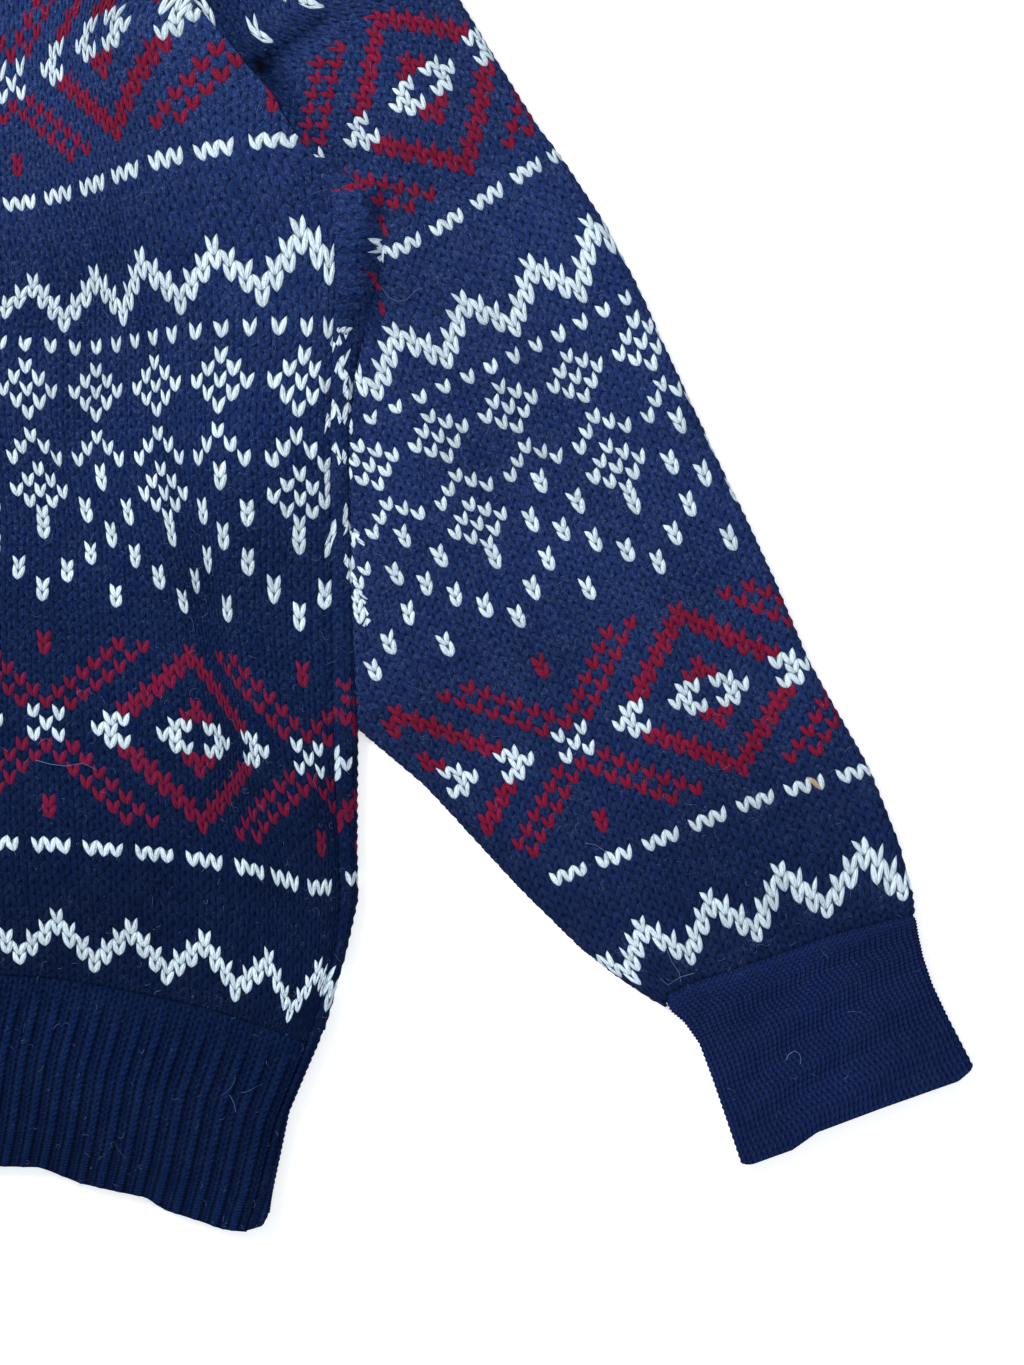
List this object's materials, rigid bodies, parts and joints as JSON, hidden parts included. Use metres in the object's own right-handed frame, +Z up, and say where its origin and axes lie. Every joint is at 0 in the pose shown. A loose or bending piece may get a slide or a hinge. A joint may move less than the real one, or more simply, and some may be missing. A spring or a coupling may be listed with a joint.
{
  "type": "fair isle jumper",
  "caption": "Navy wool jumper laid flat, knitted in bands of white and dark red pattern, with raglan sleeves, ribbed hem, cuffs and crew neck.",
  "frame": {"origin": "middle of the garment's outline, on the surface it lies on", "axes": "+X across the garment towards the wearer's left sleeve, +Y from hem to neck, +Z up from the surface"},
  "size_m": [1.0996, 0.7302, 0.0097],
  "materials": {
    "body_knit": "navy wool stranded knit with ivory and dark red pattern",
    "rib_knit": "dark navy wool rib"
  },
  "bodies": {
    "root": {"front": "body_knit", "back": "body_knit", "hem_front": "rib_knit", "hem_back": "rib_knit", "sleeve_left": "body_knit", "sleeve_right": "body_knit", "cuff_left": "rib_knit", "cuff_right": "rib_knit", "neckband": "rib_knit"}
  },
  "joints": []
}
